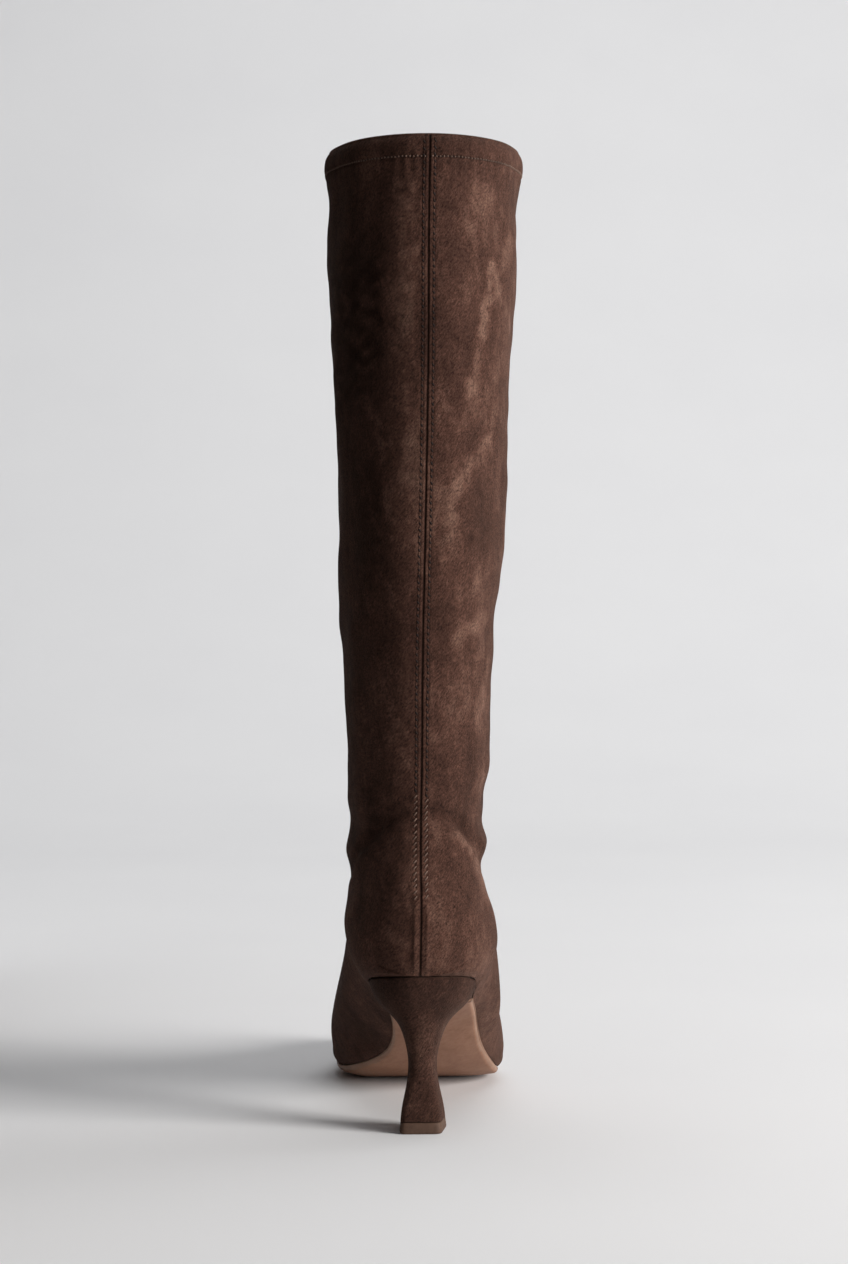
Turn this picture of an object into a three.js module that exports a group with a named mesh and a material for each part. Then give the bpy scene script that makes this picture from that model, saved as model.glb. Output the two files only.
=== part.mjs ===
// A knee-high pull-on boot for the right foot on a flared heel, as an assembly of the pieces that a maker
// puts together: upper, insole, outsole, heel and top piece.
//
// Millimetres, +Z up, +Y towards the toe, +X to the wearer's right, which is the outer side of this foot.
// The boot is drawn with y = 0 near the hindmost line of its heel seat and x = 0 over the middle of the
// heel's foot, and is moved at the end so that the origin is the bottom centre of its bounding box.
import * as THREE from "three";
import { mergeVertices } from "three/addons/utils/BufferGeometryUtils.js";

// Driving dimensions.
const BOOT_HEIGHT = 460; // floor to collar
const FOOT_LENGTH = 248; // heel seat to toe tip, along the floor
const WALL = 1.8; // suede and its lining
const SOLE_THICKNESS = 2.8;
const INSOLE_THICKNESS = 2.5;
const TOP_PIECE_HEIGHT = 5.2;
const GAP = 0.3; // between pieces that touch
const INSOLE_INSET = 0.7; // from the foot of the wall
const BREAST = 48.4; // the heel ends here and the outsole begins
const TREAD_START = 158; // the outsole lies flat on the floor from here
const TREAD_END = 186; // to here
const TOE_CAP = 22; // the length over which the toe rounds off

// Mesh resolution.
const COLUMNS = 40; // round the upper
const TOE_ROWS = 15;
const SEAT_ROWS = 13;
const ANKLE_ROWS = 9;
const SHAFT_ROWS = 11;
const ACROSS = 12; // across the soles
const HEEL_SIDES = 32; // round the heel

const clamp = (v, low, high) => Math.min(high, Math.max(low, v));
const mix = (a, b, t) => a + (b - a) * t;
const ease = (t) => t * t * (3 - 2 * t);

// A natural cubic spline through [position, value] points, carried on straight past its ends.
function smooth(points) {
  const n = points.length;
  const x = points.map((p) => p[0]);
  const v = points.map((p) => p[1]);
  const second = new Array(n).fill(0);
  const u = new Array(n).fill(0);
  for (let i = 1; i < n - 1; i++) {
    const share = (x[i] - x[i - 1]) / (x[i + 1] - x[i - 1]);
    const p = share * second[i - 1] + 2;
    const turn = (v[i + 1] - v[i]) / (x[i + 1] - x[i]) - (v[i] - v[i - 1]) / (x[i] - x[i - 1]);
    second[i] = (share - 1) / p;
    u[i] = ((6 * turn) / (x[i + 1] - x[i - 1]) - share * u[i - 1]) / p;
  }
  for (let i = n - 2; i > 0; i--) second[i] = second[i] * second[i + 1] + u[i];
  return (at) => {
    let i = 0;
    while (i < n - 2 && at > x[i + 1]) i++;
    const h = x[i + 1] - x[i];
    const inside = clamp(at, x[0], x[n - 1]);
    const b = (inside - x[i]) / h;
    const a = 1 - b;
    const bend = (((a ** 3 - a) * second[i] + (b ** 3 - b) * second[i + 1]) * h * h) / 6;
    const bendSlope = (((3 * b * b - 1) * second[i + 1] - (3 * a * a - 1) * second[i]) * h) / 6;
    const slope = (v[i + 1] - v[i]) / h + bendSlope;
    return a * v[i] + b * v[i + 1] + bend + slope * (at - inside);
  };
}

// The last seen from the side: the outsole's underside, and the ridge of the foot over it.
const soleCurve = smooth([
  [2, 70.8], [25, 65.6], [48, 53.9], [70, 42.2], [85, 32], [100, 22], [115, 13.4], [130, 6.3],
  [145, 1.7], [158, 0], [172, 0], [186, 0], [200, 0.8], [218, 3], [236, 6.6], [248, 10],
]);
const soleUnderside = (y) => (y > TREAD_START && y < TREAD_END ? 0 : Math.max(0, soleCurve(y)));
const upperBottom = (y) => soleUnderside(y) + SOLE_THICKNESS + GAP;
const ridgeHeight = smooth([
  [30, 150], [60, 150], [85, 142], [100, 128], [115, 109], [130, 91.5], [150, 73], [175, 56], [200, 44],
  [226, 34], [248, 27],
]);

// The last seen from above: the feather edge, where the upper meets the sole, and the upper's widest line.
const featherOuter = smooth([
  [30, 25], [48, 26], [66, 28.5], [85, 31], [105, 35.5], [125, 41.5], [140, 44.5], [155, 44.8], [175, 41],
  [200, 31.5], [226, 18.5], [248, 11.5],
]);
const featherInner = smooth([
  [30, -21], [48, -18.5], [66, -14], [85, -11.8], [100, -13], [112, -18], [125, -26.5], [140, -33],
  [157, -37.4], [175, -36.5], [200, -28.5], [226, -17], [248, -10.5],
]);
const widestOuter = smooth([
  [30, 28], [48, 32], [66, 37], [85, 41.3], [105, 42.8], [125, 44.8], [140, 47.6], [153, 48.4], [175, 44],
  [200, 33.2], [226, 19.7], [248, 12.5],
]);
const widestInner = smooth([
  [30, -26], [48, -29], [66, -33], [85, -36], [105, -38.2], [125, -40.4], [140, -41.6], [157, -41.6],
  [175, -39.4], [200, -30.6], [226, -18.4], [248, -11.5],
]);
const soleMiddle = smooth([
  [2, -1.4], [28, 0.3], [48, 3.7], [66, 7.2], [85, 9.6], [105, 9.5], [125, 7.5], [140, 5], [157, 3.2],
  [175, 2.2], [200, 1.2], [248, 0.5],
]);
const ridgeMiddle = smooth([[30, 0], [100, -2], [125, -1], [150, 1], [175, 1.5], [200, 1], [248, 0.5]]);
const WIDEST_OUTER = 0.16; // the upper is widest at these shares of the foot's height
const WIDEST_INNER = 0.3;
const RIDGE_POWER = 2.3; // 2 makes the top of the foot an ellipse, more a squarer one

// The leg by height: its back line, shin line, half width and middle.
const legBack = smooth([
  [40, 10], [58, 6], [72, 1.8], [80, -0.4], [90, -1.4], [102, -0.6], [118, 2.8], [135, 6.4], [155, 8.6],
  [180, 8.4], [220, 5], [260, 0.8], [300, -3], [340, -5.4], [380, -6.2], [430, -5.4], [440, -5.5],
  [447, -6.4], [460, -6.4],
]);
const legFront = smooth([
  [40, 60], [58, 75], [72, 84], [90, 91], [110, 95.5], [130, 97.5], [150, 98], [180, 98.5], [220, 100.5],
  [260, 105], [300, 110.5], [340, 115.5], [380, 119.5], [430, 123.5], [440, 124.2], [447, 125.4], [460, 126],
]);
const legHalfWidth = smooth([
  [40, 4], [50, 12], [58, 19.8], [65, 25.4], [72, 30], [80, 33.6], [90, 35], [98, 34.2], [107, 32.4],
  [116, 31.5], [128, 31.5], [139, 31.9], [160, 33.1], [203, 35.1], [235, 36.6], [256, 37.8], [310, 40.6],
  [364, 43.4], [418, 45.1], [436, 44.9], [444, 46.2], [450, 47.1], [460, 46.8],
]);
const legMiddle = smooth([
  [40, 1], [70, 0.6], [90, -0.3], [107, -1.1], [138, -1.3], [170, -0.7], [203, -0.6], [235, -0.3], [256, 0.1],
  [310, 1], [364, 1.6], [418, 1.9], [460, 2.5],
]);
const seatBend = smooth([[-8, -2.6], [2, -2], [28, -0.2], [48, 2.6], [84, 7]]); // the seat's axis in plan
const SEAT_BEND_TOP = 115; // the bend fades out at this height
const LEG_POWER = 2.08; // 2 makes the leg an ellipse, more makes it squarer
const THINNEST_LEG = 2;
const FOOT_STARTS = 36;

const legAxis = (y, z) => legMiddle(z) + seatBend(y) * ease(clamp((SEAT_BEND_TOP - z) / 45, 0, 1));

// The share of its full height and width that the foot still has in its rounded toe cap.
const capShare = (y) => Math.sqrt(Math.max(1 - clamp((y - FOOT_LENGTH + TOE_CAP) / TOE_CAP, 0, 1) ** 2, 1e-6));

// Signed distances, roughly in millimetres and negative inside, to the leg and to the foot.
function legDistance(x, y, z) {
  const depth = (legFront(z) - legBack(z)) / 2;
  const half = Math.max(legHalfWidth(z), THINNEST_LEG);
  const along = Math.abs((y - legBack(z) - depth) / depth);
  const across = Math.abs((x - legAxis(y, z)) / half);
  const level = (along ** LEG_POWER + across ** LEG_POWER) ** (1 / LEG_POWER);
  return (level - 1) * Math.min(depth, half);
}

function footDistance(x, y, z) {
  const left = capShare(y);
  const height = (ridgeHeight(y) - upperBottom(y)) * left;
  const up = (z - upperBottom(y)) / height;
  const middle = ridgeMiddle(y);
  const isOuter = x > middle;
  const feather = Math.abs((isOuter ? featherOuter(y) : featherInner(y)) - middle) * left;
  const widest = Math.abs((isOuter ? widestOuter(y) : widestInner(y)) - middle) * left;
  const widestAt = isOuter ? WIDEST_OUTER : WIDEST_INNER;
  const half = mix(feather, widest, Math.sin((Math.PI / 2) * clamp(up / widestAt, 0, 1)));
  const level = Math.sqrt(((x - middle) / half) ** 2 + Math.max(up, 0) ** RIDGE_POWER);
  return Math.max((level - 1) * Math.min(half, height), FOOT_STARTS - y);
}

// The leg and the foot run together in a fillet that is tight at the heel and wide at the instep.
function lastDistance(x, y, z) {
  const leg = legDistance(x, y, z);
  if (y >= FOOT_LENGTH) return leg;
  const foot = footDistance(x, y, z);
  const fillet = mix(5, 22, ease(clamp((y - 76) / 26, 0, 1)));
  const near = Math.max(fillet - Math.abs(leg - foot), 0) / fillet;
  return Math.min(leg, foot) - (near * near * fillet) / 4;
}

// The distance in true millimetres near the surface: the value over its own slope.
function distance(p) {
  const d = 0.05;
  const slope = Math.hypot(
    lastDistance(p.x + d, p.y, p.z) - lastDistance(p.x - d, p.y, p.z),
    lastDistance(p.x, p.y + d, p.z) - lastDistance(p.x, p.y - d, p.z),
    lastDistance(p.x, p.y, p.z + d) - lastDistance(p.x, p.y, p.z - d),
  ) / (2 * d);
  return lastDistance(p.x, p.y, p.z) / Math.max(slope, 0.3);
}

// The value between from and to at which a test that holds at from stops holding.
function turningPoint(from, to, test) {
  for (let i = 0; i < 36; i++) {
    const middle = (from + to) / 2;
    if (test(middle)) from = middle;
    else to = middle;
  }
  return (from + to) / 2;
}

const onSole = (x, y) => new THREE.Vector3(x, y, upperBottom(y));
const REACH = 90; // further out than any point of the upper

// The feather edge at y for the surface that lies a depth inside the outer one.
function featherAt(y, depth, side) {
  const middle = soleMiddle(y);
  return turningPoint(middle, middle + side * REACH, (x) => distance(onSole(x, y)) < -depth);
}

const seatBackAt = (depth) => turningPoint(30, -20, (y) => distance(onSole(soleMiddle(y), y)) < -depth);

// The section planes of the upper fan from upright at the toe, round the heel, to level in the shaft. Each
// runs straight across the boot through a low point on the sole or back and a high one on the ridge or shin.
const FAN_START = [118, ridgeHeight(118)];
const FAN_BEND = [104, 123];
const FAN_END = [99, 147];
const LEVEL_FROM = 190;

function sectionPlanes(depth) {
  const planes = [];
  const tip = FOOT_LENGTH - depth;
  for (let i = 0; i < TOE_ROWS; i++) {
    const y = tip - (tip - FAN_START[0]) * (i / TOE_ROWS) ** 1.6;
    const high = mix(upperBottom(y), ridgeHeight(y), capShare(y));
    planes.push({ low: [y, upperBottom(y)], high: [y, high], middle: soleMiddle(y), open: true });
  }
  const seatBack = seatBackAt(depth);
  for (let i = 0; i < SEAT_ROWS; i++) {
    const t = i / SEAT_ROWS;
    const y = mix(FAN_START[0], seatBack, Math.sin((t * Math.PI) / 2));
    const bend = (k) => (1 - t) ** 2 * FAN_START[k] + 2 * t * (1 - t) * FAN_BEND[k] + t * t * FAN_END[k];
    const middle = mix(soleMiddle(y), legMiddle(110), t);
    planes.push({ low: [y, upperBottom(y)], high: [bend(0), bend(1)], middle, open: true });
  }
  for (let i = 0; i < ANKLE_ROWS; i++) {
    const t = i / ANKLE_ROWS;
    const low = mix(upperBottom(seatBack), LEVEL_FROM, t);
    const high = mix(FAN_END[1], LEVEL_FROM, t);
    const back = i ? legBack(low) : seatBack;
    planes.push({ low: [back, low], high: [legFront(high), high], middle: legMiddle((low + high) / 2) });
  }
  for (let i = 0; i <= SHAFT_ROWS; i++) {
    const z = mix(LEVEL_FROM, BOOT_HEIGHT, 1 - (1 - i / SHAFT_ROWS) ** 1.3);
    planes.push({ low: [legBack(z), z], high: [legFront(z), z], middle: legMiddle(z) });
  }
  return planes;
}

// One section of the surface at that depth. Where the sole closes it, it runs from the outer feather edge over
// the top to the inner one, and elsewhere it is a ring from the back seam round the outer side to the seam.
function section({ low, high, middle, open }, depth) {
  const centre = new THREE.Vector3(middle, (low[0] + high[0]) / 2, (low[1] + high[1]) / 2);
  const rise = new THREE.Vector3(0, (high[0] - low[0]) / 2, (high[1] - low[1]) / 2);
  const width = clamp(rise.length(), 12, 36);
  const at = (angle, r) => new THREE.Vector3(width * Math.cos(angle) * r, 0, 0)
    .addScaledVector(rise, Math.sin(angle) * r).add(centre);
  const angleOf = (x) => Math.atan2(-1, (x - middle) / width);
  const seam = legAxis(low[0], low[1]);
  const ends = open ? [1, -1].map((side) => featherAt(low[0], depth, side)) : [seam, seam];
  const from = angleOf(ends[0]);
  const to = angleOf(ends[1]) + 2 * Math.PI;
  return Array.from({ length: COLUMNS + 1 }, (_, j) => {
    if (open && j % COLUMNS === 0) return onSole(ends[j / COLUMNS], low[0]);
    const angle = mix(from, to, (j % COLUMNS) / COLUMNS);
    return at(angle, turningPoint(0, 3, (r) => distance(at(angle, r)) < -depth));
  });
}

const SEAT_ROW = TOE_ROWS + SEAT_ROWS; // the first section that is a whole ring

// The surface at a depth as rows of points: the toe tip first and the collar last.
function surface(depth) {
  const rows = sectionPlanes(depth).map((plane) => section(plane, depth));
  const tip = onSole(soleMiddle(FOOT_LENGTH), FOOT_LENGTH - depth);
  rows[0] = rows[0].map(() => tip.clone());
  const seat = onSole(soleMiddle(seatBackAt(depth)), seatBackAt(depth));
  rows[SEAT_ROW][0] = seat;
  rows[SEAT_ROW][COLUMNS] = seat.clone();
  return rows;
}

// The ball of the foot is cupped: the soles and the upper's foot rise to both edges from a flat middle.
const CUP_FLAT = 22.5; // half width of the flat middle
const CUP_INNER = 5; // rise at the edges
const CUP_OUTER = 1.8;
const CUP_RAMP = 20; // over this width
const CUP_TOP = 130; // the cupping has faded out at this height

function cupped({ x, y, z }) {
  const out = x - soleMiddle(y);
  const across = clamp((Math.abs(out) - CUP_FLAT) / CUP_RAMP, 0, 1.15) ** 2;
  const along = ease(clamp((y - 95) / 45, 0, 1)) * ease(clamp((CUP_TOP - z) / 70, 0, 1));
  return [x, y, z + (out > 0 ? CUP_OUTER : CUP_INNER) * across * along];
}

// Collects triangles and makes one closed geometry of them.
class Skin {
  corners = [];

  // Faces between rows of points, looking along (next column) x (next row).
  grid(rows) {
    for (let i = 1; i < rows.length; i++)
      for (let j = 1; j < rows[i].length; j++) {
        const [a, b, c, d] = [rows[i - 1][j - 1], rows[i - 1][j], rows[i][j], rows[i][j - 1]];
        this.corners.push(a, b, c, a, c, d);
      }
  }

  geometry() {
    const flat = new Float32Array(this.corners.flatMap(cupped));
    const loose = new THREE.BufferGeometry().setAttribute("position", new THREE.BufferAttribute(flat, 3));
    const merged = mergeVertices(loose, 1e-3);
    const kept = [];
    for (let i = 0; i < merged.index.count; i += 3) {
      const [a, b, c] = [0, 1, 2].map((k) => merged.index.getX(i + k));
      if (a !== b && b !== c && c !== a) kept.push(a, b, c);
    }
    merged.setIndex(kept);
    merged.computeVertexNormals();
    return merged;
  }
}

const flipped = (rows) => rows.map((row) => [...row].reverse());
const column = (rows, k) => rows.map((row) => row[k]);

const outerSkin = surface(0);
const innerSkin = surface(WALL);

// One hollow wall, open at the collar and along the feather edge.
function upperGeometry() {
  const skin = new Skin();
  skin.grid(outerSkin);
  skin.grid(flipped(innerSkin));
  skin.grid([outerSkin.at(-1), innerSkin.at(-1)]);
  const edge = (rows, j) => column(rows.slice(0, SEAT_ROW + 1), j);
  skin.grid([edge(outerSkin, 0), edge(innerSkin, 0)]);
  skin.grid([edge(innerSkin, COLUMNS), edge(outerSkin, COLUMNS)]);
  return skin.geometry();
}

// Pairs of plan points across the boot, [inner side, outer side], from the back to the toe tip.
const featherPairs = (rows) => rows.slice(0, SEAT_ROW + 1).reverse()
  .map((row) => [row[COLUMNS], row[0]].map((p) => new THREE.Vector2(p.x, p.y)));

// The same pairs with every point moved outward, square to the outline, by the amount grow gives.
function offsetPairs(pairs, grow) {
  const moved = (side) => pairs.map((pair, i) => {
    const before = pairs[i - 1] ? pairs[i - 1][side] : pairs[1][1 - side];
    const after = pairs[i + 1] ? pairs[i + 1][side] : pairs.at(-2)[1 - side];
    const along = after.clone().sub(before).normalize();
    const outward = new THREE.Vector2(-along.y, along.x).multiplyScalar(side ? -1 : 1);
    return pair[side].clone().addScaledVector(outward, grow(pair[side].y));
  });
  const [inner, outer] = [moved(0), moved(1)];
  return inner.map((p, i) => [p, outer[i]]);
}

// A plate between the pairs of points. heights gives its bottom and top at y, and at 0 for the middle of the
// boot to 1 for either edge.
function plateGeometry(pairs, heights) {
  const sheet = (level) => pairs.map(([inner, outer]) => Array.from({ length: ACROSS + 1 }, (_, k) => {
    const p = inner.clone().lerp(outer, k / ACROSS);
    return new THREE.Vector3(p.x, p.y, heights(p.y, Math.abs((2 * k) / ACROSS - 1))[level]);
  }));
  const [bottom, top] = [sheet(0), sheet(1)];
  const skin = new Skin();
  skin.grid(top);
  skin.grid(flipped(bottom));
  skin.grid([column(top, 0), column(bottom, 0)]);
  skin.grid([column(bottom, ACROSS), column(top, ACROSS)]);
  skin.grid([top.at(-1), bottom.at(-1)]);
  skin.grid([bottom[0], top[0]]);
  return skin.geometry();
}

function insoleGeometry() {
  const inset = (y) => mix(INSOLE_INSET, 2 * INSOLE_INSET, clamp((y - 225) / 15, 0, 1));
  const pairs = offsetPairs(featherPairs(innerSkin), (y) => -inset(y));
  return plateGeometry(pairs, (y) => [upperBottom(y), upperBottom(y) + INSOLE_THICKNESS]);
}

// The outsole starts at the heel's breast. It stands a little past the upper at the forefoot, and at the waist
// it is trimmed close and is thinner at its edges than along its middle.
function outsoleGeometry() {
  const start = BREAST + GAP;
  const proud = (y) => mix(-0.3, 0.6, ease(clamp((y - 90) / 50, 0, 1)));
  const ahead = offsetPairs(featherPairs(outerSkin), proud).filter(([p]) => p.y > start + 2);
  const first = [-1, 1].map((side) => new THREE.Vector2(featherAt(start, 0, side) - side * 0.3, start));
  const thinning = (y) => 1.2 * ease(clamp((145 - y) / 60, 0, 1));
  return plateGeometry([first, ...ahead], (y, edge) => [
    soleUnderside(y) + thinning(y) * edge * edge,
    soleUnderside(y) + SOLE_THICKNESS,
  ]);
}

// The heel by height: half width, and its back and front lines, down to the top piece.
const heelHalfWidth = smooth([
  [5.5, 10.7], [9.5, 10.2], [17, 8.7], [23, 7.6], [28.3, 7.1], [33.4, 7.2], [39.7, 8.5], [46, 10.8],
  [51, 14.2], [55.8, 19.3], [60, 22.6], [66, 25.2], [72, 27],
]);
const heelBack = smooth([[5.5, 8.8], [16, 9.7], [26, 10.7], [34, 11], [42, 10.5], [50, 9], [58, 6.8], [72, 2]]);
const heelFront = smooth([[5.5, 27], [18, 27], [26, 27.6], [32, 29], [38, 31.8], [44, 36], [50, 42], [57, 48]]);
const HEEL_TURN = Math.tan((7 * Math.PI) / 180); // the heel points outward of the boot's long axis
const HEEL_MIDDLE = 18; // the heel stands over this y
const HEEL_STEPS = [0, 0.05, 0.1, 0.16, 0.23, 0.31, 0.4, 0.5, 0.61, 0.73, 0.86, 1];
const HEEL_BOTTOM = TOP_PIECE_HEIGHT + GAP;
const HEEL_BACK_SHARE = 0.88; // the heel's width at its back over that at its front
const BREAST_BLEND = 6; // the heel turns from the seat's outline to the block's over this height at the breast
const SEAT_BLEND = 16; // and over this at the back
const TOP_PIECE_HALF_WIDTH = 10.6;
const TOP_PIECE_BACK = 8.6;
const TOP_PIECE_FRONT = 27.2;
const CORNER = HEEL_SIDES / 4; // the step at which a ring turns from the breast to the inner side

// Point j of a rounded block in plan, narrower at its back than at its front.
function blockPoint(j, half, back, front, power) {
  const angle = Math.PI / 4 + (j * 2 * Math.PI) / HEEL_SIDES;
  const round = (v) => Math.sign(v) * Math.abs(v) ** (2 / power);
  const share = (1 + round(Math.sin(angle))) / 2;
  const y = mix(back, front, share);
  const x = round(Math.cos(angle)) * half * mix(HEEL_BACK_SHARE, 1, share) + (y - HEEL_MIDDLE) * HEEL_TURN;
  return new THREE.Vector2(x, y);
}

// Ring j = 0 is the outer corner of the breast, CORNER the inner one, and the rest go round the back.
function seatPoint(j) {
  const outer = featherAt(BREAST, 0, 1);
  const inner = featherAt(BREAST, 0, -1);
  if (j <= CORNER) return onSole(mix(outer, inner, j / CORNER), BREAST);
  const back = seatBackAt(0);
  const k = (j - CORNER) / (HEEL_SIDES - CORNER);
  const y = BREAST - (BREAST - back) * Math.sin(Math.PI * k);
  if (Math.abs(k - 0.5) < 1e-9) return onSole(soleMiddle(back), back);
  return onSole(featherAt(y, 0, k < 0.5 ? -1 : 1), y);
}

const ring = (pointAt) => Array.from({ length: HEEL_SIDES }, (_, j) => pointAt(j));

// The ring's inside as rows across it, from the front to the back.
function capRows(points) {
  const half = (HEEL_SIDES - CORNER) / 2;
  return Array.from({ length: half + 1 }, (_, k) => Array.from({ length: CORNER + 1 }, (_unused, m) => {
    if (k === 0) return points[CORNER - m];
    return points[CORNER + k].clone().lerp(points[(HEEL_SIDES - k) % HEEL_SIDES], m / CORNER);
  }));
}

// A solid through rings from the top one to the bottom one.
function loftGeometry(rings) {
  const skin = new Skin();
  skin.grid([...rings].reverse().map((points) => [...points, points[0]]));
  skin.grid(flipped(capRows(rings[0])));
  skin.grid(capRows(rings.at(-1)));
  return skin.geometry();
}

function heelGeometry() {
  const seat = ring(seatPoint);
  seat.forEach((p) => { p.z -= GAP; });
  return loftGeometry(HEEL_STEPS.map((step) => ring((j) => {
    const z = mix(seat[j].z, HEEL_BOTTOM, step);
    const power = mix(2.4, 6, ease(clamp((30 - z) / 24, 0, 1)));
    const block = blockPoint(j, heelHalfWidth(z), heelBack(z), heelFront(z), power);
    const blendLength = mix(SEAT_BLEND, BREAST_BLEND, clamp((seat[j].y - 20) / 28, 0, 1));
    const blend = Math.sqrt(clamp((seat[j].z - z) / blendLength, 0, 1));
    return new THREE.Vector3(mix(seat[j].x, block.x, blend), mix(seat[j].y, block.y, blend), z);
  })));
}

// The top piece is the hard-wearing foot of the heel.
function topPieceGeometry() {
  const steps = [[TOP_PIECE_HEIGHT, 0], [0.7, 0.5], [0, 0.1]];
  return loftGeometry(steps.map(([z, flare]) => ring((j) => {
    const p = blockPoint(j, TOP_PIECE_HALF_WIDTH + flare, TOP_PIECE_BACK - flare, TOP_PIECE_FRONT + flare, 8);
    return new THREE.Vector3(p.x, p.y, z);
  })));
}

const boot = new THREE.Group();
boot.name = "knee_high_boot";

function addPiece(name, geometry, colour, roughness) {
  const material = new THREE.MeshStandardMaterial({ color: colour, roughness, metalness: 0 });
  const mesh = new THREE.Mesh(geometry, material);
  mesh.name = name;
  boot.add(mesh);
}

addPiece("upper", upperGeometry(), "#4a3129", 0.95);
addPiece("insole", insoleGeometry(), "#8a6a55", 0.8);
addPiece("outsole", outsoleGeometry(), "#8b6650", 0.6);
addPiece("heel", heelGeometry(), "#432c25", 0.95);
addPiece("top_piece", topPieceGeometry(), "#57443a", 0.55);

const box = new THREE.Box3().setFromObject(boot);
const middle = box.getCenter(new THREE.Vector3());
boot.position.set(-middle.x, -middle.y, -box.min.z);
boot.updateMatrixWorld(true);

export default boot;
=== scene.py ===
"""A knee-high suede boot for the right foot, drawn in the row frame and seen from behind.

The shape is worked out in a drawing frame in millimetres: y = 0 near the hindmost line of the heel seat, +Y
towards the toe, x = 0 over the middle of the heel's foot, +X towards the outer side, z = 0 on the floor.
"""

import math

import bmesh
import bpy
import numpy as np
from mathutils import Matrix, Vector


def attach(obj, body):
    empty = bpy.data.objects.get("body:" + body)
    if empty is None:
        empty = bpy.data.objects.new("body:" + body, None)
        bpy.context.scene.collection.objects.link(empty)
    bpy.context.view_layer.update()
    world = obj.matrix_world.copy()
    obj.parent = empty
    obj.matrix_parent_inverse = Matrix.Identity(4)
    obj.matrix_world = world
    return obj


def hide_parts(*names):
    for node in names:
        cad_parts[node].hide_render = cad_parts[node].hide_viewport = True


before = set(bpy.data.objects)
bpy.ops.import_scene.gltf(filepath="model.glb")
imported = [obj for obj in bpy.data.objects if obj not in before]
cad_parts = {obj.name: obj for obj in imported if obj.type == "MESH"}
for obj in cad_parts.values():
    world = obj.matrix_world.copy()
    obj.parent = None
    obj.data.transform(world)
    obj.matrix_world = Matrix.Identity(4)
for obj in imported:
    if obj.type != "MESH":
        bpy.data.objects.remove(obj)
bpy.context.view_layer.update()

# Driving dimensions, the same as in the CAD.
SHIFT = np.array([-2.324, -121.01, 0.0])  # from the drawing frame to the row frame
BOOT_HEIGHT = 460.0
FOOT_LENGTH = 248.0
WALL = 1.8
SOLE_THICKNESS = 2.8
INSOLE_THICKNESS = 2.5
TOP_PIECE_HEIGHT = 5.2
GAP = 0.3
BREAST = 48.4
TREAD_START = 158.0
TREAD_END = 186.0
TOE_CAP = 22.0

# Resolution of the visible surfaces.
HALF_COLUMNS = 118  # round half of the upper
TOE_ROWS = 56
SEAT_ROWS = 56
ANKLE_ROWS = 78
SHAFT_ROWS = 178
TRACE = 360  # points on a section before it is shared out into columns
FIRST_CLOSED = TOE_ROWS + SEAT_ROWS  # the first row that closes round the back

RNG = np.random.default_rng(7)


def mix(a, b, t):
    return a + (b - a) * t


def ease(t):
    t = np.clip(t, 0, 1)
    return t * t * (3 - 2 * t)


def bell(t):
    return np.exp(-0.5 * t * t)


class Smooth:
    """A natural cubic spline through (position, value) points, carried on straight past its ends."""

    def __init__(self, points):
        self.x = np.array([p[0] for p in points], float)
        self.v = np.array([p[1] for p in points], float)
        n = len(points)
        h = np.diff(self.x)
        matrix = np.eye(n)
        right = np.zeros(n)
        for i in range(1, n - 1):
            matrix[i, i - 1 : i + 2] = h[i - 1], 2 * (h[i - 1] + h[i]), h[i]
            right[i] = 6 * ((self.v[i + 1] - self.v[i]) / h[i] - (self.v[i] - self.v[i - 1]) / h[i - 1])
        self.second = np.linalg.solve(matrix, right)

    def __call__(self, at):
        at = np.asarray(at, float)
        inside = np.clip(at, self.x[0], self.x[-1])
        i = np.clip(np.searchsorted(self.x, at, side="left") - 1, 0, len(self.x) - 2)
        h = self.x[i + 1] - self.x[i]
        b = (inside - self.x[i]) / h
        a = 1 - b
        low, high = self.second[i], self.second[i + 1]
        bend = ((a**3 - a) * low + (b**3 - b) * high) * h * h / 6
        slope = (self.v[i + 1] - self.v[i]) / h + ((3 * b * b - 1) * high - (3 * a * a - 1) * low) * h / 6
        return a * self.v[i] + b * self.v[i + 1] + bend + slope * (at - inside)


# The last seen from the side: the outsole's underside, and the ridge of the foot over it.
sole_curve = Smooth([
    (2, 70.8), (25, 65.6), (48, 53.9), (70, 42.2), (85, 32), (100, 22), (115, 13.4), (130, 6.3),
    (145, 1.7), (158, 0), (172, 0), (186, 0), (200, 0.8), (218, 3), (236, 6.6), (248, 10),
])
ridge_height = Smooth([
    (30, 150), (60, 150), (85, 142), (100, 128), (115, 109), (130, 91.5), (150, 73), (175, 56), (200, 44),
    (226, 34), (248, 27),
])

# The last seen from above: the feather edge, where the upper meets the sole, and the upper's widest line.
feather_outer = Smooth([
    (30, 25), (48, 26), (66, 28.5), (85, 31), (105, 35.5), (125, 41.5), (140, 44.5), (155, 44.8), (175, 41),
    (200, 31.5), (226, 18.5), (248, 11.5),
])
feather_inner = Smooth([
    (30, -21), (48, -18.5), (66, -14), (85, -11.8), (100, -13), (112, -18), (125, -26.5), (140, -33),
    (157, -37.4), (175, -36.5), (200, -28.5), (226, -17), (248, -10.5),
])
widest_outer = Smooth([
    (30, 28), (48, 32), (66, 37), (85, 41.3), (105, 42.8), (125, 44.8), (140, 47.6), (153, 48.4), (175, 44),
    (200, 33.2), (226, 19.7), (248, 12.5),
])
widest_inner = Smooth([
    (30, -26), (48, -29), (66, -33), (85, -36), (105, -38.2), (125, -40.4), (140, -41.6), (157, -41.6),
    (175, -39.4), (200, -30.6), (226, -18.4), (248, -11.5),
])
sole_middle = Smooth([
    (2, -1.4), (28, 0.3), (48, 3.7), (66, 7.2), (85, 9.6), (105, 9.5), (125, 7.5), (140, 5), (157, 3.2),
    (175, 2.2), (200, 1.2), (248, 0.5),
])
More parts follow.
